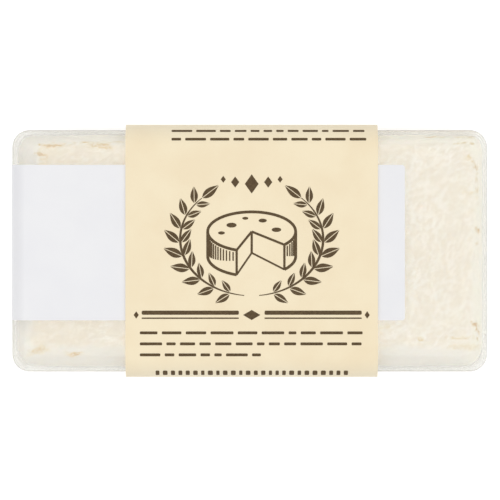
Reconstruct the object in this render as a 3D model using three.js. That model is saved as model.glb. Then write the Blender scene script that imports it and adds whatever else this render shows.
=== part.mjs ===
// Half block of soft, white-rinded cheese in a shut clear box, with a plain label over the lid
// and a paper band round the middle. All sizes are in millimetres.
// +X runs along the box, +Y across it and +Z up. The origin lies under the middle of the box,
// on the surface that the band's underside rests on.

import * as THREE from 'three';
import { mergeVertices } from 'three/addons/utils/BufferGeometryUtils.js';

// Space kept between pieces that touch
const FIT_GAP = 0.3;
const SKIN_GAP = 0.15;

// Clear box: a shallow tray and a deep lid that meet at a flat rim
const RIM_LENGTH = 106.0;
const RIM_WIDTH = 53.9;
const RIM_CORNER = 3.8;
const RIM_LEDGE = 0.3;
const RIM_THICKNESS = 0.5;
const SHELL_WALL = 0.35;
const WALL_CORNER = 3.6;
const CORNER_SHRINK = 0.75;
const WALL_DRAFT = THREE.MathUtils.degToRad(3.0);
const TRAY_DEPTH = 5.8;
const TRAY_BASE_EDGE = 1.5;
const LID_DEPTH = 21.2;
const LID_TOP_EDGE = 2.8;
const CORNER_STEPS = 8;
const EDGE_STEPS = 6;

// Label that lies on the lid and folds down over the box's left end
const LABEL_WIDTH = 33.95;
const LABEL_THICKNESS = 0.2;
const LABEL_RIGHT_END = 33.9;
const LABEL_LOW_END = 9.5;
const LABEL_SHIFT_Y = 1.8;
const LABEL_CORNER = 0.7;
const LABEL_CORNER_STEPS = 3;

// Paper band round the middle
const BAND_LENGTH = 55.1;
const BAND_WIDTH = 55.3;
const BAND_THICKNESS = 0.4;
const BAND_TOP_CORNER = 5.0;
const BAND_BOTTOM_CORNER = 3.0;
const BAND_SHIFT_X = 0.45;

// Cheese: a rounded block whose top edges draw in from its widest height. Its back edge is the
// sharpest, its front edge the softest, and its corners are round all over.
const CHEESE_LENGTH = 103.0;
const CHEESE_WIDTH = 51.0;
const CHEESE_HEIGHT = 25.3;
const FRONT_EDGE = 4.2;
const BACK_EDGE = 1.6;
const END_EDGE = 3.2;
const END_SHARE = 0.1;
const BELLY = 0.3;
const LEAN_START = 0.25;
const LEAN_RIGHT = 1.1;
const LEAN_FRONT = 2.6;
const LEAN_LEFT_AT_FRONT = 1.9;
const LEAN_LEFT_AT_BACK = 4.2;
const LEAN_BACK_AT_RIGHT = 1.1;
const LEAN_BACK_AT_LEFT = 1.6;
const ROLL_HEIGHT = 0.14;
const ROLL_SPACING = 23;
const ROLL_LEAN_SPAN = 4;
const WRINKLE_HEIGHT = 0.11;
const WRINKLE_SPACING = 8.5;
const WRINKLE_SLANT = new THREE.Vector3(0.7, 1, 0.8);
const WRINKLE_BEND = 2.2;
const WRINKLE_BEND_SPAN = 9;
const WRINKLE_FADE_SPAN = { x: 5, y: 7 };

// Grid lines along each side of the block, and how many of them lie in each half of a rounded edge
const CHEESE_GRID = { x: 36, y: 21, z: 13 };
const EDGE_LINES = 4;

// Heights, from the surface upwards
const trayBottom = BAND_THICKNESS + FIT_GAP;
const trayRimTop = trayBottom + TRAY_DEPTH;
const lidBottom = trayRimTop + SKIN_GAP;
const lidTop = lidBottom + LID_DEPTH;
const bandTop = lidTop + SKIN_GAP + LABEL_THICKNESS + SKIN_GAP + BAND_THICKNESS;
const reliefHeight = ROLL_HEIGHT + WRINKLE_HEIGHT;
const cheeseMiddle = trayBottom + SHELL_WALL + FIT_GAP + reliefHeight + CHEESE_HEIGHT / 2;

// Half sizes of the walls where they leave the rim
const wallHalfLength = RIM_LENGTH / 2 - RIM_LEDGE;
const wallHalfWidth = RIM_WIDTH / 2 - RIM_LEDGE;

const { abs, cos, max, min, sin, sqrt, tan, PI } = Math;
const { smoothstep, lerp } = THREE.MathUtils;

// Closed ring of points on a rounded rectangle at one height, anticlockwise from above
function outline(halfLength, halfWidth, corner, z) {
  const points = [];
  for (let quarter = 0; quarter < 4; quarter += 1) {
    const signX = quarter === 0 || quarter === 3 ? 1 : -1;
    const signY = quarter < 2 ? 1 : -1;
    const centreX = signX * (halfLength - corner);
    const centreY = signY * (halfWidth - corner);
    for (let step = 0; step <= CORNER_STEPS; step += 1) {
      const angle = ((quarter + step / CORNER_STEPS) * PI) / 2;
      points.push(new THREE.Vector3(centreX + corner * cos(angle), centreY + corner * sin(angle), z));
    }
  }
  return points;
}

// The outline of the walls, drawn in by inset
function wallOutline(inset, z) {
  const corner = WALL_CORNER - CORNER_SHRINK * inset;
  return outline(wallHalfLength - inset, wallHalfWidth - inset, corner, z);
}

// One closed body through rings of equal length, with a flat face over each end ring.
// Seen from ahead of the first ring, the rings run anticlockwise.
function loft(rings) {
  const count = rings[0].length;
  const points = rings.flat();
  const index = [];
  for (let ring = 0; ring + 1 < rings.length; ring += 1) {
    for (let i = 0; i < count; i += 1) {
      const here = ring * count + i;
      const beside = ring * count + ((i + 1) % count);
      index.push(here, here + count, beside + count);
      index.push(here, beside + count, beside);
    }
  }
  const firstMiddle = points.length;
  const lastMiddle = firstMiddle + 1;
  const lastRing = (rings.length - 1) * count;
  points.push(middleOf(rings[0]), middleOf(rings[rings.length - 1]));
  for (let i = 0; i < count; i += 1) {
    const next = (i + 1) % count;
    index.push(firstMiddle, i, next);
    index.push(lastMiddle, lastRing + next, lastRing + i);
  }
  const geometry = new THREE.BufferGeometry().setFromPoints(points);
  geometry.setIndex(index);
  geometry.computeVertexNormals();
  return geometry;
}

function middleOf(points) {
  const sum = new THREE.Vector3();
  for (const point of points) {
    sum.add(point);
  }
  return sum.divideScalar(points.length);
}

// Rings from a flat panel, round its edge and on to the wall. up is 1 where the panel is on top.
function panelEdge(panelZ, radius, inset, up) {
  const rings = [];
  for (let step = 0; step <= EDGE_STEPS; step += 1) {
    const angle = ((step / EDGE_STEPS) * PI) / 2;
    const drawnIn = inset + radius * (1 - sin(angle));
    rings.push(wallOutline(drawnIn, panelZ - up * radius * (1 - cos(angle))));
  }
  return rings;
}

// Shell of one half of the box: a panel, a drafted wall and the rim round the wall's foot
function shellGeometry(panelZ, rimZ, edgeRadius, up) {
  const outerInset = (abs(panelZ - rimZ) - edgeRadius) * tan(WALL_DRAFT);
  const innerInset = outerInset + SHELL_WALL;
  const rimFace = rimZ + up * RIM_THICKNESS;
  const outer = [
    ...panelEdge(panelZ, edgeRadius, outerInset, up),
    wallOutline(0, rimFace),
    outline(RIM_LENGTH / 2, RIM_WIDTH / 2, RIM_CORNER, rimFace),
    outline(RIM_LENGTH / 2, RIM_WIDTH / 2, RIM_CORNER, rimZ),
  ];
  const inner = [
    ...panelEdge(panelZ - up * SHELL_WALL, edgeRadius - SHELL_WALL, innerInset, up),
    wallOutline(SHELL_WALL, rimZ),
  ];
  return loft(up > 0 ? [...outer, ...inner.reverse()] : [...inner, ...outer.reverse()]);
}

// Middle line of the label's underside, from its right end to its low end on the box's left wall.
// Each stop has its place, the way out of the lid, and its distance along the label.
function labelStops() {
  const drawnIn = (LID_DEPTH - LID_TOP_EDGE) * tan(WALL_DRAFT);
  const foldX = -(wallHalfLength - drawnIn - LID_TOP_EDGE);
  const foldZ = lidTop - LID_TOP_EDGE;
  const radius = LID_TOP_EDGE + SKIN_GAP;
  const straightTop = LABEL_RIGHT_END - foldX;
  const foldLength = (radius * PI) / 2;
  const straightDown = foldZ - LABEL_LOW_END;
  const total = straightTop + foldLength + straightDown;
  const distances = [];
  for (let step = 0; step <= LABEL_CORNER_STEPS; step += 1) {
    const fromEnd = LABEL_CORNER * (1 - cos(((step / LABEL_CORNER_STEPS) * PI) / 2));
    distances.push(fromEnd, total - fromEnd);
  }
  for (let step = 0; step <= EDGE_STEPS; step += 1) {
    distances.push(straightTop + (foldLength * step) / EDGE_STEPS);
  }
  distances.sort((a, b) => a - b);
  return distances.map((distance) => {
    const turned = THREE.MathUtils.clamp((distance - straightTop) / radius, 0, PI / 2);
    const out = new THREE.Vector3(-sin(turned), 0, cos(turned));
    const place = new THREE.Vector3(foldX, 0, foldZ).addScaledVector(out, radius);
    const leftOnTop = max(straightTop - distance, 0);
    const wentDown = max(distance - straightTop - foldLength, 0);
    place.x += leftOnTop - wentDown * tan(WALL_DRAFT);
    place.z -= wentDown;
    return { place, out, fromEnd: min(distance, total - distance) };
  });
}

function labelGeometry() {
  const rings = labelStops().map(({ place, out, fromEnd }) => {
    const roundness = max(1 - fromEnd / LABEL_CORNER, 0);
    const cutBack = LABEL_CORNER * (1 - sqrt(1 - roundness * roundness));
    const half = LABEL_WIDTH / 2 - cutBack;
    const face = place.clone().addScaledVector(out, LABEL_THICKNESS);
    return [
      new THREE.Vector3(place.x, LABEL_SHIFT_Y - half, place.z),
      new THREE.Vector3(place.x, LABEL_SHIFT_Y + half, place.z),
      new THREE.Vector3(face.x, LABEL_SHIFT_Y + half, face.z),
      new THREE.Vector3(face.x, LABEL_SHIFT_Y - half, face.z),
    ];
  });
  return loft(rings);
}

// Cross-section of the band, drawn in by inset, as a path across the box
function bandSection(path, inset) {
  const half = BAND_WIDTH / 2 - inset;
  const top = bandTop - inset;
  const bottom = inset;
  const topCorner = BAND_TOP_CORNER - inset;
  const bottomCorner = BAND_BOTTOM_CORNER - inset;
  path.moveTo(-half + bottomCorner, bottom);
  path.lineTo(half - bottomCorner, bottom);
  path.absarc(half - bottomCorner, bottom + bottomCorner, bottomCorner, -PI / 2, 0);
  path.absarc(half - topCorner, top - topCorner, topCorner, 0, PI / 2);
  path.absarc(-half + topCorner, top - topCorner, topCorner, PI / 2, PI);
  path.absarc(-half + bottomCorner, bottom + bottomCorner, bottomCorner, PI, 1.5 * PI);
  return path;
}

function bandGeometry() {
  const section = bandSection(new THREE.Shape(), 0);
  section.holes.push(bandSection(new THREE.Path(), BAND_THICKNESS));
  const geometry = new THREE.ExtrudeGeometry(section, {
    depth: BAND_LENGTH,
    bevelEnabled: false,
    curveSegments: CORNER_STEPS,
  });
  const across = new THREE.Vector3(0, 1, 0);
  const up = new THREE.Vector3(0, 0, 1);
  const along = new THREE.Vector3(1, 0, 0);
  geometry.translate(0, 0, -BAND_LENGTH / 2);
  geometry.applyMatrix4(new THREE.Matrix4().makeBasis(across, up, along));
  return geometry;
}

// Moves a grid line of the unit box to its place on the block, with lines close together near
// the edges
function gridPlace(unit, lines, half) {
  const line = Math.round(((unit + 1) / 2) * lines);
  const flat = half - FRONT_EDGE;
  const fromNearEnd = min(line, lines - line);
  const side = line * 2 < lines ? -1 : 1;
  if (fromNearEnd < EDGE_LINES) {
    const angle = (((EDGE_LINES - fromNearEnd) / EDGE_LINES) * PI) / 4;
    return side * (flat + FRONT_EDGE * tan(angle));
  }
  return lerp(-flat, flat, (line - EDGE_LINES) / (lines - 2 * EDGE_LINES));
}

// How round the block's edges are near a point
function edgeRadius(point, half) {
  const alongBack = lerp(FRONT_EDGE, BACK_EDGE, (point.y / half.y + 1) / 2);
  const nearEnd = smoothstep(abs(point.x / half.x), 1 - END_SHARE, 1);
  return max(alongBack, END_EDGE * nearEnd);
}

// Low rolls and finer slanting wrinkles in the rind
function rindRelief(point) {
  const alongRoll = (point.x * 2 * PI) / ROLL_SPACING + point.z / ROLL_LEAN_SPAN;
  const roll = sin(alongRoll) * cos((point.y * 2 * PI) / ROLL_SPACING);
  const bend = WRINKLE_BEND * sin((point.x - point.y) / WRINKLE_BEND_SPAN);
  const fade = cos(point.x / WRINKLE_FADE_SPAN.x - point.y / WRINKLE_FADE_SPAN.y);
  const wrinkle = sin((point.dot(WRINKLE_SLANT) * 2 * PI) / WRINKLE_SPACING + bend) * fade;
  return ROLL_HEIGHT * roll + WRINKLE_HEIGHT * wrinkle;
}

// Draws the top edges in and lets the sides swell, in proportion to the distance from the middle
function settle(point, half) {
  const share = point.clone().divide(half);
  const height = (share.z + 1) / 2;
  const drawnIn = smoothstep(height, LEAN_START, 1);
  const swell = BELLY * sin(PI * height);
  const toBack = (share.y + 1) / 2;
  const toLeft = (1 - share.x) / 2;
  const leanX = share.x > 0 ? LEAN_RIGHT : lerp(LEAN_LEFT_AT_FRONT, LEAN_LEFT_AT_BACK, toBack);
  const leanY = share.y > 0 ? lerp(LEAN_BACK_AT_RIGHT, LEAN_BACK_AT_LEFT, toLeft) : LEAN_FRONT;
  point.x += share.x * (swell - leanX * drawnIn);
  point.y += share.y * (swell - leanY * drawnIn);
}

function cheeseGeometry() {
  const half = new THREE.Vector3(CHEESE_LENGTH, CHEESE_WIDTH, CHEESE_HEIGHT).divideScalar(2);
  const box = new THREE.BoxGeometry(2, 2, 2, CHEESE_GRID.x, CHEESE_GRID.y, CHEESE_GRID.z);
  box.deleteAttribute('normal');
  box.deleteAttribute('uv');
  box.clearGroups();
  const geometry = mergeVertices(box);
  const place = geometry.attributes.position;
  for (let i = 0; i < place.count; i += 1) {
    const point = new THREE.Vector3(
      gridPlace(place.getX(i), CHEESE_GRID.x, half.x),
      gridPlace(place.getY(i), CHEESE_GRID.y, half.y),
      gridPlace(place.getZ(i), CHEESE_GRID.z, half.z),
    );
    const radius = edgeRadius(point, half);
    const coreHalf = half.clone().subScalar(radius);
    const core = point.clone().clamp(coreHalf.clone().negate(), coreHalf);
    const out = point.clone().sub(core).normalize();
    point.copy(core).addScaledVector(out, radius + rindRelief(point));
    settle(point, half);
    place.setXYZ(i, point.x, point.y, point.z);
  }
  geometry.computeVertexNormals();
  return geometry;
}

function addPiece(group, name, geometry, finish) {
  const mesh = new THREE.Mesh(geometry, new THREE.MeshStandardMaterial(finish));
  mesh.name = name;
  group.add(mesh);
  return mesh;
}

const clearPlastic = { color: 0xeef0ee, roughness: 0.12, metalness: 0, transparent: true, opacity: 0.25 };
const whiteLabel = { color: 0xeeeef0, roughness: 0.45, metalness: 0 };
const creamPaper = { color: 0xf6e7c7, roughness: 0.8, metalness: 0 };
const whiteRind = { color: 0xf2ebdb, roughness: 0.85, metalness: 0 };

const pack = new THREE.Group();

const cheese = addPiece(pack, 'cheese', cheeseGeometry(), whiteRind);
cheese.position.z = cheeseMiddle;

addPiece(pack, 'clear_tray', shellGeometry(trayBottom, trayRimTop, TRAY_BASE_EDGE, -1), clearPlastic);
addPiece(pack, 'clear_lid', shellGeometry(lidTop, lidBottom, LID_TOP_EDGE, 1), clearPlastic);
addPiece(pack, 'top_label', labelGeometry(), whiteLabel);

const band = addPiece(pack, 'paper_band', bandGeometry(), creamPaper);
band.position.x = BAND_SHIFT_X;

export default pack;
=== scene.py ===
# Looks for a packed soft-ripened cheese: the rind, the clear box, the label and the paper band.
# Lengths are in millimetres in the row frame, and a mesh is scaled to metres when it is made.

import math
import random

import bmesh
import bpy
import numpy as np
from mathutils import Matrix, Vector, noise


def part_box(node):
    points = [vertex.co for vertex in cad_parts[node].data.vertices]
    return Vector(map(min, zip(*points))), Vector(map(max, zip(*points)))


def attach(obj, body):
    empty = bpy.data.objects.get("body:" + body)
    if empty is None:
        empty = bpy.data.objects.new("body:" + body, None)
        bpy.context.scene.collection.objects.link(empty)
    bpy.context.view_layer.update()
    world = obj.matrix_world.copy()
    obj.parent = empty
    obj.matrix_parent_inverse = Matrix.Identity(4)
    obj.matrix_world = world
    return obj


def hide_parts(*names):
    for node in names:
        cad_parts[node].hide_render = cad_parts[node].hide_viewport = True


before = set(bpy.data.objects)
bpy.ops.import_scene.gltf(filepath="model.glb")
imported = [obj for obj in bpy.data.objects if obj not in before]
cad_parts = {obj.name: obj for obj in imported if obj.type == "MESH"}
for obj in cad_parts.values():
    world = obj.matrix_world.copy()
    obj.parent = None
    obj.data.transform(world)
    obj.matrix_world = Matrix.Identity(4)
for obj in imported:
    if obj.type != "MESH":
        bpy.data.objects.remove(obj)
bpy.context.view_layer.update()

MM = 0.001
BODY = "root"

# Camera straight above the pack
CAMERA_PLACE = (0.08, 0.18, 950.0)
CAMERA_LENS = 304.0
CAMERA_SENSOR = 36.0

# Light
SKY_TOP = 1.20
SKY_LOW = 0.52
LAMP_PLACE = (-120.0, -60.0, 1400.0)
LAMP_SIZE = 700.0
LAMP_POWER = 4.1
FLOOR_HALF = 3000.0
FLOOR_DROP = 0.05
FLOOR_GLOW = 0.34

# Cheese
CHEESE_VOXEL = 0.45
STREAK_HEIGHT = 0.08
DOWN_HEIGHT = 0.035
PIT_DEPTH = 0.22
MARK_SINK = 0.12
MARK_HALF_HEIGHT = 1.3
OLDER_END = (-46.0, -22.0)
OLDER_RELIEF = 1.5

# Clear box
WALL = 0.35
RIM_THICKNESS = 0.5
RIM_LEDGE = 0.3
RIM_CORNER = 3.8
WALL_CORNER = 3.6
CORNER_SHRINK = 0.75
WALL_DRAFT = math.radians(3.0)
TRAY_BASE_EDGE = 1.5
LID_TOP_EDGE = 2.8
LIP_ROUND = 0.16
PANEL_MARGIN = 0.5
LID_TINT = (0.98, 0.965, 0.91, 1.0)
LID_HAZE = 0.14
# Painted shade: the tray is a darker, duller and hazier copy of the lid's plastic, for the shade in the gap round
# the cheese
TRAY_SHADE_TINT = (0.875, 0.86, 0.785, 1.0)
TRAY_HAZE = 0.36
# Painted reflection and painted shade: the rim's grey-cream tone stands in for the cheese's light and the grey seen
# at the plastic's edge
RIM_PAINTED_TONE = (0.88, 0.87, 0.81, 1.0)
# Painted light: the box's right end gets a paler rim and thinner haze, lifting the shade there
RIM_PAINTED_LIGHT_TINT = (0.95, 0.955, 0.91, 1.0)
# Painted shade: a darker, yellower tone along the back long side, over its right part
RIM_PAINTED_SHADE_TINT = (0.85, 0.805, 0.70, 1.0)
PAINTED_LIGHT_END = (48.5, 52.0)
PAINTED_SHADE_SIDE = (24.0, 26.0)
PAINTED_SHADE_PART = (15.0, 35.0)
LID_EDGE_HAZE = 0.175
TRAY_EDGE_HAZE = 0.26
PAINTED_LIGHT_HAZE = 0.8
HAZE_RIM = 0.24
CORNER_STEPS = 14
EDGE_STEPS = 10

# Label
LABEL_THICKNESS = 0.2
LABEL_CORNER = 0.7

# Band
BAND_THICKNESS = 0.28
BAND_TOP_CORNER = 5.0
BAND_BOTTOM_CORNER = 3.0
BAND_STEP = 1.1
FLAP_END_Y = 9.0
FLAP_TUCK = 17.0
FLAP_RAMP = 5.0
FLAP_GAP = 0.02

# Ink
INK_LIFT = 0.03
INK_SINK = 0.03
INK_STAGGER = 0.003
INK_LAYERS = 7
WREATH_HALF_X = 15.6
WREATH_HALF_S = 12.4
WREATH_MIDDLE = 2.6


# Mesh helpers


def mesh_piece(name, points, faces, smooth=True):
    """A new mesh object from points in millimetres."""
    mesh = bpy.data.meshes.new(name)
    mesh.from_pydata([Vector(p) * MM for p in points], [], faces)
    mesh.update()
    piece = bpy.data.objects.new(name, mesh)
    bpy.context.scene.collection.objects.link(piece)
    if smooth:
        mesh.shade_smooth()
    return piece


def tidy_normals(piece):
    """Turns every face outwards."""
    work = bmesh.new()
    work.from_mesh(piece.data)
    bmesh.ops.recalc_face_normals(work, faces=work.faces)
    work.to_mesh(piece.data)
    work.free()
    return piece


def lofted(rings):
    """Points and faces of a closed body through rings of equal length."""
    count = len(rings[0])
    points = [p for ring in rings for p in ring]
    faces = []
    for ring in range(len(rings) - 1):
        for i in range(count):
            here = ring * count + i
            beside = ring * count + (i + 1) % count
            faces.append((here, beside, beside + count, here + count))
    faces.append(tuple(reversed(range(count))))
    last = (len(rings) - 1) * count
    faces.append(tuple(range(last, last + count)))
    return points, faces


def outline(half_x, half_y, corner, z):
    """Ring of points on a rounded rectangle, anticlockwise from above."""
    ring = []
    for quarter in range(4):
        side_x = 1 if quarter in (0, 3) else -1
        side_y = 1 if quarter < 2 else -1
        middle_x = side_x * (half_x - corner)
        middle_y = side_y * (half_y - corner)
        for step in range(CORNER_STEPS + 1):
            angle = (quarter + step / CORNER_STEPS) * math.pi / 2
            ring.append((middle_x + corner * math.cos(angle), middle_y + corner * math.sin(angle), z))
    return ring


def smoothstep(value, low, high):
    share = min(max((value - low) / (high - low), 0.0), 1.0)
    return share * share * (3 - 2 * share)


# Material helpers


def new_material(name):
    material = bpy.data.materials.new(name)
    material.use_nodes = True
    tree = material.node_tree
    tree.nodes.clear()
    output = tree.nodes.new("ShaderNodeOutputMaterial")
    shader = tree.nodes.new("ShaderNodeBsdfPrincipled")
    tree.links.new(shader.outputs[0], output.inputs["Surface"])
    return material, tree, shader, output


def linear(red, green, blue):
    """Linear colour of an sRGB colour given from 0 to 255."""
    def one(value):
        value /= 255
        return value / 12.92 if value <= 0.04045 else ((value + 0.055) / 1.055) ** 2.4

    return (one(red), one(green), one(blue), 1.0)


def node(tree, kind, **settings):
    made = tree.nodes.new(kind)
    for key, value in settings.items():
        setattr(made, key, value)
    return made


def plug(tree, source, socket):
    """Links a socket to another, or sets a plain value on it."""
    if hasattr(source, "is_output"):
        tree.links.new(source, socket)
    else:
        socket.default_value = source


def mm_place(tree, stretch=(1.0, 1.0, 1.0)):
    """Object coordinates in millimetres, stretched by a factor along each axis."""
    place = node(tree, "ShaderNodeTexCoord")
    scaled = node(tree, "ShaderNodeVectorMath", operation="MULTIPLY")
    tree.links.new(place.outputs["Object"], scaled.inputs[0])
    scaled.inputs[1].default_value = [s / MM for s in stretch]
    return scaled.outputs[0]


def noise_value(tree, place, scale, detail=3.0, roughness=0.5, distortion=0.0):
    made = node(tree, "ShaderNodeTexNoise")
    tree.links.new(place, made.inputs["Vector"])
    made.inputs["Scale"].default_value = scale
    made.inputs["Detail"].default_value = detail
    made.inputs["Roughness"].default_value = roughness
    made.inputs["Distortion"].default_value = distortion
    return made.outputs[0]


def ranged(tree, value, low, high, to_low=0.0, to_high=1.0):
    made = node(tree, "ShaderNodeMapRange")
    plug(tree, value, made.inputs["Value"])
    made.inputs["From Min"].default_value = low
    made.inputs["From Max"].default_value = high
    made.inputs["To Min"].default_value = to_low
    made.inputs["To Max"].default_value = to_high
    return made.outputs[0]


def maths(tree, operation, a, b):
    made = node(tree, "ShaderNodeMath", operation=operation)
    plug(tree, a, made.inputs[0])
    plug(tree, b, made.inputs[1])
    return made.outputs[0]


def mixed(tree, factor, a, b, blend="MIX"):
    made = node(tree, "ShaderNodeMix", data_type="RGBA", blend_type=blend)
    plug(tree, factor, made.inputs[0])
    plug(tree, a, made.inputs[6])
    plug(tree, b, made.inputs[7])
    return made.outputs[2]


def bumped(tree, shader, height, strength, distance):
    made = node(tree, "ShaderNodeBump")
    made.inputs["Strength"].default_value = strength
    made.inputs["Distance"].default_value = distance * MM
    tree.links.new(height, made.inputs["Height"])
    tree.links.new(made.outputs[0], shader.inputs["Normal"])


def attribute(tree, name):
    return node(tree, "ShaderNodeAttribute", attribute_name=name).outputs["Fac"]


def dress(piece, material):
    piece.data.materials.clear()
    piece.data.materials.append(material)
    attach(piece, BODY)
    return piece


# Places of the CAD nodes, in millimetres


def box_mm(name):
    low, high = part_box(name)
    return low / MM, high / MM


tray_low, tray_high = box_mm("clear_tray")
lid_low, lid_high = box_mm("clear_lid")
label_low, label_high = box_mm("top_label")
band_low, band_high = box_mm("paper_band")
cheese_low, cheese_high = box_mm("cheese")

rim_half_x = (lid_high.x - lid_low.x) / 2
rim_half_y = (lid_high.y - lid_low.y) / 2
wall_half_x = rim_half_x - RIM_LEDGE
wall_half_y = rim_half_y - RIM_LEDGE
cheese_middle = (cheese_low + cheese_high) / 2


# Cheese


class Mark:
    """A brown or yellowish mark on the rind, as a soft ellipse seen from above. On a steep side
    it also has a height."""

    def __init__(self, x, y, half_x, half_y, strength, turn=0.0, height=None):
        self.x = x
        self.y = y
        self.half_x = half_x
        self.half_y = half_y
        self.strength = strength
        self.height = height
        self.cos = math.cos(math.radians(turn))
        self.sin = math.sin(math.radians(turn))

    def reach(self, x, y, z, ragged):
        dx = x - self.x
        dy = y - self.y
        along = (dx * self.cos + dy * self.sin) / self.half_x
        across = (dy * self.cos - dx * self.sin) / self.half_y
        rise = 0.0 if self.height is None else (z - self.height) / MARK_HALF_HEIGHT
        distance = math.hypot(along, across, rise) * (1 + 0.55 * ragged)
        return self.strength * (1 - smoothstep(distance, 0.45, 1.35))


def dab_row(rng, start, end, count, half, strength, heights=None):
    """Small marks strewn along a line, and over a range of heights where the rind is steep."""
    marks = []
    for i in range(count):
        share = (i + rng.uniform(0.15, 0.85)) / count
        x = start[0] + (end[0] - start[0]) * share + rng.uniform(-0.2, 0.2)
        y = start[1] + (end[1] - start[1]) * share + rng.uniform(-0.25, 0.25)
        size = half * rng.uniform(0.6, 1.4)
        flat = size * rng.uniform(0.45, 0.8)
        force = strength * rng.uniform(0.5, 1.0)
        height = rng.uniform(*heights) if heights else None
        marks.append(Mark(x, y, size, flat, force, height=height))
    return marks


def rind_marks():
    rng = random.Random(11)
    marks = [
        # back left corner
        Mark(-42.8, 23.1, 3.4, 0.38, 0.7),
        Mark(-43.6, 23.0, 1.5, 0.50, 0.9, 6),
        Mark(-45.6, 21.1, 1.3, 0.45, 0.9, -12),
        Mark(-45.9, 22.2, 0.9, 0.30, 0.5, 50),
        Mark(-45.0, 20.0, 1.6, 0.28, 0.5, -8),
        Mark(-44.6, 19.0, 1.4, 0.25, 0.4, -5),
        Mark(-46.0, 18.6, 0.9, 0.3, 0.35),
        Mark(-32.6, 23.0, 3.2, 0.8, 0.6, -8),
        # front left
        Mark(-46.2, -21.9, 2.3, 0.9, 0.55, 12),
        Mark(-48.4, -23.0, 1.0, 0.2, 0.3, 12),
        Mark(-38.2, -22.7, 1.8, 0.6, 0.75, 10),
        Mark(-40.0, -22.6, 0.9, 0.6, 0.3, -10),
        # right end
        Mark(49.6, 15.8, 0.5, 0.6, 0.4),
        Mark(49.8, 13.3, 0.5, 0.6, 0.4),
        Mark(49.9, 4.6, 0.7, 0.5, 0.7, -40),
        Mark(49.7, 1.6, 0.6, 0.3, 0.5, 50),
        Mark(48.6, 12.6, 1.1, 0.4, 0.35, 12),
        Mark(46.9, 12.9, 0.7, 0.4, 0.3),
        Mark(48.6, 8.9, 1.2, 0.5, 0.2),
        Mark(47.4, 8.3, 0.8, 0.5, 0.2),
        # front right
        Mark(49.4, -16.2, 1.0, 0.55, 0.8, -30),
        Mark(50.0, -17.6, 0.9, 0.35, 0.6, -45),
        Mark(46.4, -19.0, 3.2, 0.32, 0.6, 2),
        Mark(37.3, -19.3, 0.7, 0.6, 0.7),
        Mark(46.8, -21.0, 4.2, 0.8, 0.38),
        Mark(30.2, -16.4, 1.8, 0.5, 0.35, 20),
        Mark(29.9, 14.9, 0.5, 1.6, 0.2, 15),
    ]
    marks += dab_row(rng, (-46.4, 23.0), (-40.0, 23.3), 8, 0.45, 0.9)
    marks += dab_row(rng, (-40.0, 23.4), (-27.5, 24.0), 18, 0.40, 0.6)
    marks += dab_row(rng, (38.8, 25.2), (50.2, 25.4), 34, 0.65, 0.8, heights=(13.0, 21.0))
    marks += dab_row(rng, (44.8, 23.4), (49.6, 23.6), 8, 0.42, 0.75)
    marks += dab_row(rng, (47.8, 21.2), (49.8, 17.6), 9, 0.45, 0.7)
    marks += dab_row(rng, (50.0, 17.0), (50.0, 10.0), 6, 0.4, 0.35)
    marks += dab_row(rng, (44.0, -20.4), (50.0, -22.0), 9, 0.45, 0.5)
    marks += dab_row(rng, (42.8, -18.9), (50.0, -19.2), 10, 0.40, 0.7)
    return marks


def ridged(point):
    return 1 - abs(noise.noise(point)) * 2


def wrinkled(across, along, z, seed):
    """Ridges that run along one way, in three widths."""
    broad = ridged(Vector((across * 0.42, along * 0.19, z * 0.2 + seed)))
    middling = ridged(Vector((across * 0.95, along * 0.48, z * 0.4 + seed + 6.0)))
    thin = ridged(Vector((across * 2.1, along * 1.2, z * 0.8 + seed + 12.0)))
    return 0.26 * broad * broad + 0.36 * middling * middling + 0.38 * thin * thin


def streaks(x, y, z):
    """Wrinkles along Y in the middle of the top, and slanting ones near the long edges."""
    bend = 0.9 * noise.noise(Vector((x * 0.3, y * 0.3, 5.0)))
    bend += 0.35 * noise.noise(Vector((x * 0.9, y * 0.9, 8.0)))
    wander = 3.0 * noise.noise(Vector((x * 0.12, y * 0.12, 60.0)))
    share = smoothstep(abs(y) + wander, 13.0, 18.0)
    value = 0.0
    if share < 1:
        value += (1 - share) * wrinkled(x + bend, y, z, 3.0)
    if share > 0:
        turn = 0.5 if y > 0 else 0.3
        value += share * wrinkled(y - x * turn + bend, x + y * turn, z, 30.0)
    return value


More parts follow.
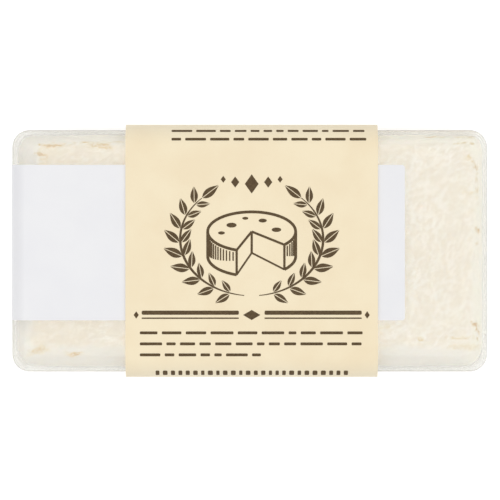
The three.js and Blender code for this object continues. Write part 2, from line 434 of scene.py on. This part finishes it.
def build_cheese():
    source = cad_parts["cheese"]
    piece = bpy.data.objects.new("cheese_block", source.data.copy())
    bpy.context.scene.collection.objects.link(piece)

    work = bmesh.new()
    work.from_mesh(piece.data)
    bmesh.ops.remove_doubles(work, verts=work.verts, dist=0.01 * MM)
    work.to_mesh(piece.data)
    work.free()

    smoother = piece.modifiers.new("Smoother", "SUBSURF")
    smoother.levels = 1
    remesh = piece.modifiers.new("Remesh", "REMESH")
    remesh.mode = "VOXEL"
    remesh.voxel_size = CHEESE_VOXEL * MM
    even = piece.modifiers.new("Even", "SMOOTH")
    even.factor = 0.5
    even.iterations = 6
    graph = bpy.context.evaluated_depsgraph_get()
    mesh = bpy.data.meshes.new_from_object(piece.evaluated_get(graph))
    piece.modifiers.clear()
    piece.data = mesh
    mesh.materials.clear()

    marks = rind_marks()
    places = np.empty(len(mesh.vertices) * 3)
    mesh.vertices.foreach_get("co", places)
    places = places.reshape(-1, 3) / MM
    ways = np.array([v.normal for v in mesh.vertices])
    mark_share = np.zeros(len(places), np.float32)
    streak_share = np.zeros(len(places), np.float32)
    slope_bloom_and_shade_share = np.zeros(len(places), np.float32)
    age_share = np.zeros(len(places), np.float32)
    painted_light_share = np.zeros(len(places), np.float32)
    moved = places.copy()
    for i, (x, y, z) in enumerate(places):
        way = ways[i]
        up = smoothstep(z, 10.0, 13.0)
        ragged = noise.noise(Vector((x * 1.6, y * 1.6, z * 1.6)))
        ragged += 0.6 * noise.noise(Vector((x * 3.6, y * 3.6, z * 3.6 + 7.0)))
        mark = 0.0
        if up > 0.05:
            for one in marks:
                if abs(x - one.x) < 6 and abs(y - one.y) < 6:
                    mark = max(mark, one.reach(x, y, z, ragged))
        mark *= up
        streak = streaks(x, y, z)
        down = noise.noise(Vector((x * 1.9, y * 1.9, z * 1.9)))
        lumps = noise.noise(Vector((x * 0.23, y * 0.23, z * 0.23 + 20.0)))
        age = 1 - smoothstep(x + 12 * lumps, *OLDER_END)
        streak = 0.5 + (streak - 0.5) * (1 + OLDER_RELIEF * age)
        height = STREAK_HEIGHT * (streak - 0.55) * 2 + DOWN_HEIGHT * down + 0.08 * lumps
        pit = noise.noise(Vector((x * 0.75, y * 0.75, z * 0.75 + 40.0)))
        height -= PIT_DEPTH * smoothstep(pit, 0.42, 0.72)
        height -= MARK_SINK * mark
        moved[i] += way * height
        mark_share[i] = mark
        streak_share[i] = streak
        # The steep sides are marked for a greyer, less yellow tone: partly the bloom's own colour, partly painted
        # shade
        slope = 1 - smoothstep(way[2] + 0.06 * lumps, 0.72, 0.985)
        slope_bloom_and_shade_share[i] = slope * (1 - 0.75 * max(way[0], 0.0))
        # Painted light: the right end and the back slopes are marked for a lighter cream, to lift their shade
        painted_light_share[i] = slope * (1 - age) * min(max(way[0], 0.0) + 0.8 * max(way[1], 0.0), 1.0)
        age_share[i] = age
    mesh.vertices.foreach_set("co", (moved * MM).ravel())
    shares = {
        "rind_mark": mark_share,
        "rind_streak": streak_share,
        "rind_slope_bloom_and_shade": slope_bloom_and_shade_share,
        "rind_age": age_share,
        "rind_painted_light": painted_light_share,
    }
    for name, values in shares.items():
        layer = mesh.attributes.new(name, "FLOAT", "POINT")
        layer.data.foreach_set("value", values)
    mesh.shade_smooth()
    mesh.update()
    return piece


def rind_material():
    material, tree, shader, _ = new_material("bloomy_rind")
    place = mm_place(tree)
    streak = attribute(tree, "rind_streak")
    blotch = noise_value(tree, place, 0.16, 4.0, 0.55)
    fleck = noise_value(tree, place, 1.1, 3.0, 0.6)
    fuzz = noise_value(tree, place, 4.5, 2.0, 0.5)
    crumble = ranged(tree, noise_value(tree, place, 2.6, 3.0, 0.6), 0.36, 0.62, 0.35, 1.45)
    mark = maths(tree, "MULTIPLY", attribute(tree, "rind_mark"), crumble)

    bloom = linear(243, 240, 231)
    paste = linear(242, 234, 218)
    hollow = linear(229, 218, 197)
    colour = mixed(tree, ranged(tree, blotch, 0.36, 0.66, 0.2, 0.8), paste, bloom)
    colour = mixed(tree, maths(tree, "MULTIPLY", attribute(tree, "rind_age"), 0.5), colour, linear(234, 223, 202))
    colour = mixed(tree, ranged(tree, streak, 0.58, 0.22, 0.0, 0.58), colour, hollow)
    colour = mixed(tree, ranged(tree, fleck, 0.54, 0.72, 0.0, 0.44), colour, linear(234, 222, 197))
    # Partly the bloom's colour, partly painted shade: a greyer, less yellow tone on the steep sides
    colour = mixed(tree, maths(tree, "MULTIPLY", attribute(tree, "rind_slope_bloom_and_shade"), 0.8), colour, linear(238, 235, 226))
    # Painted light: a lighter cream over the right end and the back slopes, lifting their shade
    colour = mixed(tree, attribute(tree, "rind_painted_light"), colour, linear(252, 247, 232))
    tan = mixed(tree, ranged(tree, fuzz, 0.3, 0.7), linear(214, 172, 116), linear(198, 156, 106))
    light_tan = linear(232, 216, 179)
    colour = mixed(tree, ranged(tree, mark, 0.05, 0.6), colour, light_tan)
    colour = mixed(tree, ranged(tree, mark, 0.45, 1.0, 0.0, 0.9), colour, tan)
    tree.links.new(colour, shader.inputs["Base Color"])
    tree.links.new(ranged(tree, fuzz, 0.3, 0.7, 0.72, 0.9), shader.inputs["Roughness"])
    shader.inputs["Specular IOR Level"].default_value = 0.3
    shader.inputs["Subsurface Weight"].default_value = 0.3
    shader.inputs["Subsurface Radius"].default_value = (1.0, 0.75, 0.5)
    shader.inputs["Subsurface Scale"].default_value = 2.0 * MM
    height = maths(tree, "ADD", maths(tree, "MULTIPLY", fleck, 0.6), maths(tree, "MULTIPLY", fuzz, 0.4))
    bumped(tree, shader, height, 0.8, 0.125)
    return material


# Clear box


def wall_outline(inset, z):
    corner = WALL_CORNER - CORNER_SHRINK * inset
    return outline(wall_half_x - inset, wall_half_y - inset, corner, z)


def panel_edge(panel_z, radius, inset, up):
    rings = [wall_outline(inset + radius + PANEL_MARGIN, panel_z)]
    for step in range(EDGE_STEPS + 1):
        angle = step / EDGE_STEPS * math.pi / 2
        drawn_in = inset + radius * (1 - math.sin(angle))
        rings.append(wall_outline(drawn_in, panel_z - up * radius * (1 - math.cos(angle))))
    return rings


def rim_rings(rim_z, up):
    """Rings from the wall's foot, out along the rim, round its lip and back in."""
    rings = []
    face = rim_z + up * RIM_THICKNESS
    root = 0.25
    for step in range(4):
        angle = step / 3 * math.pi / 2
        z = face + up * root * (1 - math.sin(angle))
        rings.append(wall_outline(-root * (1 - math.cos(angle)), z))
    grow = RIM_CORNER - LIP_ROUND
    for side in (1, -1):
        middle = face - up * LIP_ROUND if side == 1 else rim_z + up * LIP_ROUND
        for step in range(4):
            angle = step / 3 * math.pi / 2
            out = math.sin(angle) if side == 1 else math.cos(angle)
            rise = math.cos(angle) if side == 1 else -math.sin(angle)
            reach = LIP_ROUND * (out - 1)
            z = middle + up * LIP_ROUND * rise
            rings.append(outline(rim_half_x + reach, rim_half_y + reach, grow + LIP_ROUND * out, z))
    return rings


def build_shell(name, panel_z, rim_z, edge, up):
    outer_inset = (abs(panel_z - rim_z) - edge) * math.tan(WALL_DRAFT)
    outer = panel_edge(panel_z, edge, outer_inset, up) + rim_rings(rim_z, up)
    inner = panel_edge(panel_z - up * WALL, edge - WALL, outer_inset + WALL, up)
    inner.append(wall_outline(WALL, rim_z))
    rings = outer + inner[::-1]
    points, faces = lofted(rings)
    piece = tidy_normals(mesh_piece(name, points, faces))
    rim = np.array([abs(p[2] - rim_z) <= RIM_THICKNESS + 0.01 for p in points], np.float32)
    piece.data.attributes.new("rim", "FLOAT", "POINT").data.foreach_set("value", rim)
    # Painted light: paler tone and thinner haze towards the right end
    painted_light = np.array([smoothstep(p[0], *PAINTED_LIGHT_END) for p in points], np.float32)
    piece.data.attributes.new("painted_light_end", "FLOAT", "POINT").data.foreach_set("value", painted_light)
    # Painted shade: darker and yellower towards the back long side, over its right part
    painted_shade = [smoothstep(p[1], *PAINTED_SHADE_SIDE) * smoothstep(p[0], *PAINTED_SHADE_PART) for p in points]
    painted_shade = np.array(painted_shade, np.float32) * (1 - painted_light)
    piece.data.attributes.new("painted_shade_side", "FLOAT", "POINT").data.foreach_set("value", painted_shade)
    return piece


def clear_material(name, tint, flat_haze, edge_haze):
    material, tree, shader, _ = new_material(name)
    place = mm_place(tree)
    rim = attribute(tree, "rim")
    painted_light = attribute(tree, "painted_light_end")
    painted_shade = attribute(tree, "painted_shade_side")
    # The rim's tone is painted reflection and painted shade, paler towards the right end as painted light
    rim_painted_tone = mixed(tree, painted_light, RIM_PAINTED_TONE, RIM_PAINTED_LIGHT_TINT)
    # Painted shade: the back side takes a darker, yellower tone
    tone = mixed(tree, painted_shade, mixed(tree, rim, tint, rim_painted_tone), RIM_PAINTED_SHADE_TINT)
    tree.links.new(tone, shader.inputs["Base Color"])
    facing = node(tree, "ShaderNodeLayerWeight")
    facing.inputs["Blend"].default_value = 0.35
    cloud = noise_value(tree, place, 0.07, 3.0)
    haze = ranged(tree, facing.outputs["Facing"], 0.15, 1.0, flat_haze, edge_haze)
    haze = maths(tree, "MULTIPLY", haze, ranged(tree, cloud, 0.3, 0.7, 0.85, 1.15))
    # Painted light: thinner haze towards the right end
    haze = maths(tree, "MULTIPLY", haze, ranged(tree, painted_light, 0.0, 1.0, 1.0, PAINTED_LIGHT_HAZE))
    haze = maths(tree, "MAXIMUM", haze, maths(tree, "MULTIPLY", rim, HAZE_RIM))
    tree.links.new(haze, shader.inputs["Alpha"])
    tree.links.new(ranged(tree, cloud, 0.3, 0.7, 0.08, 0.16), shader.inputs["Roughness"])
    bumped(tree, shader, cloud, 0.25, 0.4)
    return material


# Label


def label_path():
    """Stops along the label's outer face: place, way out and distance from the nearer end."""
    drawn_in = (abs(lid_high.z - lid_low.z) - LID_TOP_EDGE) * math.tan(WALL_DRAFT)
    fold_x = -(wall_half_x - drawn_in - LID_TOP_EDGE)
    fold_z = lid_high.z - LID_TOP_EDGE
    radius = label_high.z - fold_z
    top = label_high.x - fold_x
    bend = radius * math.pi / 2
    total = top + bend + (fold_z - label_low.z)
    stops = set()
    for step in range(7):
        near_end = LABEL_CORNER * (1 - math.cos(step / 6 * math.pi / 2))
        stops.update((near_end, total - near_end))
    stops.update(top + bend * step / 16 for step in range(17))
    stops.update(top * step / 20 for step in range(1, 20))
    stops.update(top + bend + (total - top - bend) * step / 6 for step in range(1, 6))
    path = []
    for distance in sorted(stops):
        angle = min(max((distance - top) / radius, 0), math.pi / 2)
        way = Vector((-math.sin(angle), 0, math.cos(angle)))
        place = Vector((fold_x, 0, fold_z)) + way * radius
        place.x += max(top - distance, 0)
        down = max(distance - top - bend, 0)
        place.x -= down * math.tan(WALL_DRAFT)
        place.z -= down
        path.append((place, way, min(distance, total - distance)))
    return path


def build_label():
    middle_y = (label_low.y + label_high.y) / 2
    half_width = (label_high.y - label_low.y) / 2
    rings = []
    for place, way, near_end in label_path():
        roundness = max(1 - near_end / LABEL_CORNER, 0)
        half = half_width - LABEL_CORNER * (1 - math.sqrt(1 - roundness * roundness))
        under = place - way * LABEL_THICKNESS
        side = Vector((0, half, 0))
        across = Vector((0, middle_y, 0))
        ring = [under + across - side, under + across + side]
        for step in range(9):
            ring.append(place + across + side * (1 - step / 4))
        rings.append(ring)
    points, faces = lofted(rings)
    piece = tidy_normals(mesh_piece("front_label", points, faces))
    piece.data.set_sharp_from_angle(angle=math.radians(50))
    return piece


def label_material():
    material, tree, shader, _ = new_material("label_paper")
    place = mm_place(tree)
    fibre = noise_value(tree, mm_place(tree, (1.0, 2.5, 1.0)), 1.8, 4.0, 0.6)
    cloud = noise_value(tree, place, 0.09, 3.0, 0.5)
    colour = mixed(tree, ranged(tree, cloud, 0.35, 0.65), linear(227, 227, 230), linear(230, 230, 232))
    colour = mixed(tree, ranged(tree, fibre, 0.55, 0.8, 0.0, 0.3), colour, linear(226, 226, 230))
    tree.links.new(colour, shader.inputs["Base Color"])
    tree.links.new(ranged(tree, fibre, 0.3, 0.7, 0.38, 0.48), shader.inputs["Roughness"])
    bumped(tree, shader, fibre, 0.15, 0.03)
    return material


# Band


band_half_y = (band_high.y - band_low.y) / 2
band_half_x = (band_high.x - band_low.x) / 2
band_middle_x = (band_high.x + band_low.x) / 2
band_top = band_high.z
band_bottom = band_low.z
top_flat = band_half_y - BAND_TOP_CORNER
top_arc = BAND_TOP_CORNER * math.pi / 2


def band_point(x, s, lift):
    """A point on the band's outside. s is the way across it from the top's middle line, towards +Y."""
    side = 1 if s >= 0 else -1
    past = abs(s) - top_flat
    if past <= 0:
        return Vector((band_middle_x + x, s, band_top + lift))
    angle = past / BAND_TOP_CORNER
    radius = BAND_TOP_CORNER + lift
    y = top_flat + radius * math.sin(angle)
    z = band_top - BAND_TOP_CORNER + radius * math.cos(angle)
    return Vector((band_middle_x + x, side * y, z))


def band_path():
    """Places and ways out round the band's outside, from the flap's end under the pack."""
    path = []

    def straight(start, end, way):
        steps = max(int((end - start).length / BAND_STEP), 1)
        for step in range(steps):
            path.append((start.lerp(end, step / steps), way))

    def turn(middle, radius, first, last, steps):
        for step in range(steps):
            angle = math.radians(first + (last - first) * step / steps)
            way = Vector((math.cos(angle), math.sin(angle)))
            path.append((middle + way * radius, way))

    low = BAND_BOTTOM_CORNER
    high = BAND_TOP_CORNER
    half = band_half_y
    down = Vector((0, -1))
    straight(Vector((FLAP_END_Y, band_bottom)), Vector((-half + low, band_bottom)), down)
    turn(Vector((-half + low, band_bottom + low)), low, 270, 180, 10)
    straight(Vector((-half, band_bottom + low)), Vector((-half, band_top - high)), Vector((-1, 0)))
    turn(Vector((-half + high, band_top - high)), high, 180, 90, 16)
    straight(Vector((-half + high, band_top)), Vector((half - high, band_top)), Vector((0, 1)))
    turn(Vector((half - high, band_top - high)), high, 90, 0, 16)
    straight(Vector((half, band_top - high)), Vector((half, band_bottom + low)), Vector((1, 0)))
    turn(Vector((half - low, band_bottom + low)), low, 0, -90, 10)
    straight(Vector((half - low, band_bottom)), Vector((-FLAP_TUCK, band_bottom)), down)
    path.append((Vector((-FLAP_TUCK, band_bottom)), down))
    return path


def build_band():
    """One strip wound once round the pack. Its last length is tucked above its first."""
    path = band_path()
    columns = 12
    rings = []
    turned_painted_shade = []
    half_way = len(path) // 2
    for index, (place, way) in enumerate(path):
        tucked = 0.0
        if index > half_way and way.y < -0.999:
            tucked = smoothstep(FLAP_END_Y + FLAP_RAMP - place.x, 0.0, FLAP_RAMP)
        inward = tucked * (BAND_THICKNESS + FLAP_GAP)
        outer = place - way * inward
        inner = place - way * (inward + BAND_THICKNESS * (0.93 if tucked > 0 else 1.0))
        ring = []
        for column in range(columns + 1):
            x = band_middle_x + band_half_x * (column / columns * 2 - 1)
            ring.append((x, outer.x, outer.y))
        for column in range(columns, -1, -1):
            x = band_middle_x + band_half_x * (column / columns * 2 - 1)
            ring.append((x, inner.x, inner.y))
        rings.append(ring)
        # Painted shade: the band's curved and upright faces are marked for a greyer tone
        turned_painted_shade += [1 - way.y * way.y] * len(ring)
    points, faces = lofted(rings)
    piece = tidy_normals(mesh_piece("band_paper", points, faces))
    piece.data.attributes.new("turned_painted_shade", "FLOAT", "POINT").data.foreach_set("value", turned_painted_shade)
    piece.data.set_sharp_from_angle(angle=math.radians(50))
    return piece


def paper_material():
    material, tree, shader, _ = new_material("band_paper")
    place = mm_place(tree)
    fibre = noise_value(tree, mm_place(tree, (2.2, 1.0, 1.0)), 1.6, 5.0, 0.65, 0.4)
    cloud = noise_value(tree, place, 0.12, 4.0, 0.5)
    grain = noise_value(tree, place, 7.0, 2.0, 0.5)
    colour = mixed(tree, ranged(tree, cloud, 0.35, 0.65), linear(238, 222, 190), linear(241, 227, 196))
    colour = mixed(tree, ranged(tree, fibre, 0.58, 0.8, 0.0, 0.35), colour, linear(230, 210, 174))
    # Painted shade: a greyer tone where the band turns down its sides
    colour = mixed(tree, maths(tree, "MULTIPLY", attribute(tree, "turned_painted_shade"), 0.35), colour, linear(218, 214, 200))
    tree.links.new(colour, shader.inputs["Base Color"])
    tree.links.new(ranged(tree, fibre, 0.3, 0.7, 0.62, 0.74), shader.inputs["Roughness"])
    shader.inputs["Specular IOR Level"].default_value = 0.35
    height = maths(tree, "ADD", maths(tree, "MULTIPLY", fibre, 0.7), maths(tree, "MULTIPLY", grain, 0.3))
    bumped(tree, shader, height, 0.3, 0.05)
    return material


# Print on the band: a sprig wreath round a cut cheese wheel, rules and rows of dashes


class Print:
    """Collects closed flat ink shapes that lie on the band's outside."""

    def __init__(self):
        self.points = []
        self.faces = []
        self.count = 0

    def prism(self, corners, tops):
        """A closed thin body over an outline of (x, s) corners, with its top split into tops."""
        count = len(corners)
        base = len(self.points)
        lift = INK_LIFT + INK_STAGGER * (self.count % INK_LAYERS)
        self.count += 1
        self.points += [band_point(x, s, lift) for x, s in corners]
        self.points += [band_point(x, s, -INK_SINK) for x, s in corners]
        for top in tops:
            self.faces.append(tuple(base + i for i in top))
            self.faces.append(tuple(base + count + i for i in reversed(top)))
        for i in range(count):
            after = (i + 1) % count
            self.faces.append((base + i, base + count + i, base + count + after, base + after))

    def shape(self, corners):
        self.prism(corners, [tuple(range(len(corners)))])

    def strip(self, left, right):
        """A shape between two lines with as many points each."""
        count = len(left)
        last = 2 * count - 1
        tops = [(i, i + 1, last - i - 1, last - i) for i in range(count - 1)]
        self.prism(left + right[::-1], tops)

    def stroke(self, line, width, taper=False):
        """A line of (x, s) points drawn with a pen of that width, or one that thins at both ends."""
        left = []
        right = []
        for i, (x, s) in enumerate(line):
            a = Vector(line[max(i - 1, 0)])
            b = Vector(line[min(i + 1, len(line) - 1)])
            way = (b - a).normalized()
            half = width / 2
            if taper:
                half *= 0.3 + 0.7 * math.sin(math.pi * i / (len(line) - 1))
            left.append((x - way.y * half, s + way.x * half))
            right.append((x + way.y * half, s - way.x * half))
        self.strip(left, right)

    def bar(self, x, s, half_x, half_s):
        """A short bar with softened corners."""
        corner = min(half_x, half_s) * 0.6
        levels = [corner * (1 - math.cos(step / 3 * math.pi / 2)) for step in range(4)]
        levels = levels + [half_s] + [2 * half_s - level for level in reversed(levels)]
        left = []
        right = []
        for level in levels:
            near = min(level, 2 * half_s - level)
            cut = 0.0
            if near < corner:
                cut = corner - math.sqrt(max(corner * corner - (corner - near) ** 2, 0.0))
            left.append((x - half_x + cut, s - half_s + level))
            right.append((x + half_x - cut, s - half_s + level))
        self.strip(left, right)


def leaf(ink, root, angle, length, width, slit=0.16):
    """A leaf in two halves with a bare midrib between them."""
    along = Vector((math.cos(angle), math.sin(angle)))
    across = Vector((-along.y, along.x))
    for side in (1, -1):
        edge = []
        rib = []
        for step in range(9):
            t = step / 8
            bulge = math.sin(math.pi * t ** 0.8) ** 0.9 * width / 2
            middle = root + along * (length * t)
            outer = middle + across * side * max(bulge, slit / 2 + 0.02)
            inner = middle + across * side * slit / 2
            edge.append((outer.x, outer.y))
            rib.append((inner.x, inner.y))
        ink.strip(edge, rib)


def on_wreath(degrees, side, grow=0.0):
    """A point of the wreath's stem, and the way along it, upwards."""
    angle = math.radians(degrees)
    x = (WREATH_HALF_X + grow) * math.cos(angle)
    s = WREATH_MIDDLE + (WREATH_HALF_S + grow) * math.sin(angle)
    way = Vector((-WREATH_HALF_X * math.sin(angle), WREATH_HALF_S * math.cos(angle))).normalized()
    return Vector((side * x, s)), Vector((side * way.x, way.y))


def sprig(ink, side):
    """One half of the wreath: a stem with leaves in pairs and a leaf at its tip."""
    first = -84
    last = 46
    line = [on_wreath(first + (last - first) * i / 40, side)[0] for i in range(41)]
    ink.stroke([(p.x, p.y) for p in line], 0.55, taper=True)
    pairs = 9
    for pair in range(pairs):
        here, way = on_wreath(first + 12 + (last - first - 20) * pair / (pairs - 1), side)
        heading = math.atan2(way.y, way.x)
        size = 1.0 - 0.18 * abs(2 * pair / (pairs - 1) - 1)
        for turn in (1, -1):
            inside = turn == side
            spread = math.radians(40 if inside else 46) * turn
            across = Vector((-way.y, way.x)) * turn
            scale = size * (0.84 if inside else 1.0)
            leaf(ink, here + across * 0.32, heading + spread, 4.3 * scale, 2.0 * scale)
    tip, way = on_wreath(last, side)
    leaf(ink, tip + way * 0.1, math.atan2(way.y, way.x), 4.4, 1.9)


def cheese_wheel(ink):
    """A wheel of cheese with a wedge taken out, in line and hatching."""
    middle = Vector((0.0, 4.2))
    long_half = 9.6
    short_half = 4.3
    depth = 5.4
    gap_from = math.radians(250)
    gap_to = math.radians(318)

    def on_top(angle, drop=0.0):
        return (middle.x + long_half * math.cos(angle), middle.y + short_half * math.sin(angle) - drop)

    steps = 44
    rim = [on_top(gap_to + (gap_from + 2 * math.pi - gap_to) * i / steps) for i in range(steps + 1)]
    ink.stroke(rim[: steps // 2 + 1], 0.62)
    ink.stroke(rim[steps // 2 :], 0.62)
    centre = (middle.x, middle.y)
    for angle in (gap_from, gap_to):
        ink.stroke([centre, on_top(angle)], 0.5)
        ink.stroke([on_top(angle), on_top(angle, depth)], 0.5)
    ink.stroke([centre, (centre[0], centre[1] - depth * 0.86)], 0.5)
    for angle in (gap_from, gap_to):
        foot = on_top(angle, depth)
        ink.stroke([(centre[0], centre[1] - depth * 0.86), foot], 0.4)
    for first, last in ((math.pi, gap_from), (gap_to, 2 * math.pi)):
        foot = [on_top(first + (last - first) * i / 16, depth) for i in range(17)]
        ink.stroke(foot, 0.62)
        ink.stroke([on_top(first if first == math.pi else last), on_top(first if first == math.pi else last, depth)], 0.62)
        lines = 14 if first == math.pi else 7
        for line in range(1, lines):
            angle = first + (last - first) * line / lines
            if first == math.pi:
                share = 0.82 - 0.5 * line / lines
            else:
                share = 0.35 + 0.5 * line / lines
            top = on_top(angle, 0.55)
            ink.stroke([top, (top[0], top[1] - depth * share)], 0.3)
    for x, s, size in ((-4.4, 5.6, 0.75), (2.4, 6.6, 0.6), (5.4, 4.6, 0.7), (-1.4, 7.1, 0.45), (-6.6, 3.9, 0.5)):
        hole = [
            (x + size * 1.5 * math.cos(a * math.pi / 7), s + size * 0.7 * math.sin(a * math.pi / 7))
            for a in range(14)
        ]
        ink.shape(hole)


def lozenge(ink, x, s, half_x, half_s):
    ink.shape([(x + half_x, s), (x, s + half_s), (x - half_x, s), (x, s - half_s)])


def dash_row(ink, rng, s, start, end, height, shortest, longest, space):
    """A row of short dashes of varied length."""
    x = start
    while x < end - shortest:
        length = min(rng.uniform(shortest, longest), end - x)
        ink.bar(x + length / 2, s, length / 2, height / 2)
        x += length + space


def build_print():
    ink = Print()
    rng = random.Random(5)
    for side in (-1, 1):
        sprig(ink, side)
    cheese_wheel(ink)
    lozenge(ink, 0.0, 14.6, 1.5, 2.1)
    for side in (-1, 1):
        lozenge(ink, side * 3.6, 15.0, 0.9, 1.2)
        lozenge(ink, side * 6.2, 15.6, 0.55, 0.75)
    for side in (-1, 1):
        ink.bar(side * 13.4, -13.5, 10.6, 0.45)
        ink.bar(side * 13.4, -14.7, 10.6, 0.15)
        lozenge(ink, side * 25.2, -14.0, 0.55, 0.8)
    lozenge(ink, 0.0, -14.0, 1.9, 1.1)
    for row, end in ((-17.9, 24.2), (-20.3, 24.8), (-22.7, 2.0)):
        dash_row(ink, rng, row, -24.4, end, 0.62, 1.6, 5.2, 0.95)
    for row in (24.4, 26.6):
        dash_row(ink, rng, row, -17.5, 25.0, 0.6, 1.4, 4.6, 0.9)
    dash_row(ink, rng, -27.4, -21.0, 21.5, 1.7, 0.7, 1.1, 0.75)
    piece = mesh_piece("band_print", ink.points, ink.faces, smooth=False)
    return tidy_normals(piece)


def ink_material():
    material, tree, shader, _ = new_material("brown_ink")
    place = mm_place(tree)
    wear = noise_value(tree, place, 2.2, 4.0, 0.6)
    colour = mixed(tree, ranged(tree, wear, 0.35, 0.7), linear(78, 60, 36), linear(98, 80, 52))
    tree.links.new(colour, shader.inputs["Base Color"])
    shader.inputs["Roughness"].default_value = 0.7
    shader.inputs["Specular IOR Level"].default_value = 0.3
    bumped(tree, shader, wear, 0.2, 0.02)
    return material


# Stage, light and camera


def build_stage():
    half = FLOOR_HALF
    corners = [(x, y, -FLOOR_DROP) for x, y in ((-half, -half), (half, -half), (half, half), (-half, half))]
    floor = mesh_piece("floor", corners, [(0, 1, 2, 3)])
    material, tree, shader, _ = new_material("floor")
    shader.inputs["Base Color"].default_value = (0.85, 0.85, 0.85, 1.0)
    shader.inputs["Roughness"].default_value = 0.9
    shader.inputs["Specular IOR Level"].default_value = 0.1
    shader.inputs["Emission Color"].default_value = (1.0, 1.0, 1.0, 1.0)
    shader.inputs["Emission Strength"].default_value = FLOOR_GLOW
    floor.data.materials.append(material)


def build_light():
    world = bpy.data.worlds.new("studio")
    bpy.context.scene.world = world
    world.use_nodes = True
    tree = world.node_tree
    tree.nodes.clear()
    output = node(tree, "ShaderNodeOutputWorld")
    background = node(tree, "ShaderNodeBackground")
    place = node(tree, "ShaderNodeTexCoord")
    split = node(tree, "ShaderNodeSeparateXYZ")
    tree.links.new(place.outputs["Generated"], split.inputs[0])
    tree.links.new(ranged(tree, split.outputs[2], 0.0, 0.8, SKY_LOW, SKY_TOP), background.inputs["Strength"])
    tree.links.new(background.outputs[0], output.inputs["Surface"])

    lamp = bpy.data.lights.new("softbox", "AREA")
    lamp.shape = "SQUARE"
    lamp.size = LAMP_SIZE * MM
    lamp.energy = LAMP_POWER
    holder = bpy.data.objects.new("softbox", lamp)
    holder.location = Vector(LAMP_PLACE) * MM
    holder.rotation_euler = (-holder.location).to_track_quat("-Z", "Y").to_euler()
    bpy.context.scene.collection.objects.link(holder)


def build_camera():
    camera = bpy.data.cameras.new("camera")
    camera.lens = CAMERA_LENS
    camera.sensor_width = CAMERA_SENSOR
    camera.clip_start = 0.05
    holder = bpy.data.objects.new("camera", camera)
    holder.location = Vector(CAMERA_PLACE) * MM
    bpy.context.scene.collection.objects.link(holder)
    bpy.context.scene.camera = holder


cheese = dress(build_cheese(), rind_material())
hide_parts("cheese")

tray = build_shell("tray_shell", tray_low.z, tray_high.z, TRAY_BASE_EDGE, -1)
dress(tray, clear_material("tray_plastic", TRAY_SHADE_TINT, TRAY_HAZE, TRAY_EDGE_HAZE))
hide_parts("clear_tray")
lid = build_shell("lid_shell", lid_high.z, lid_low.z, LID_TOP_EDGE, 1)
dress(lid, clear_material("lid_plastic", LID_TINT, LID_HAZE, LID_EDGE_HAZE))
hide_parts("clear_lid")

label = dress(build_label(), label_material())
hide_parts("top_label")

band = dress(build_band(), paper_material())
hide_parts("paper_band")
for thin in (label, band):
    thin.visible_shadow = False
dress(build_print(), ink_material())

build_stage()
build_light()
build_camera()
bpy.context.scene.view_settings.view_transform = "Standard"
bpy.context.scene.cycles.transparent_max_bounces = 32
bpy.context.scene.cycles.max_bounces = 16
bpy.context.scene.cycles.transmission_bounces = 16
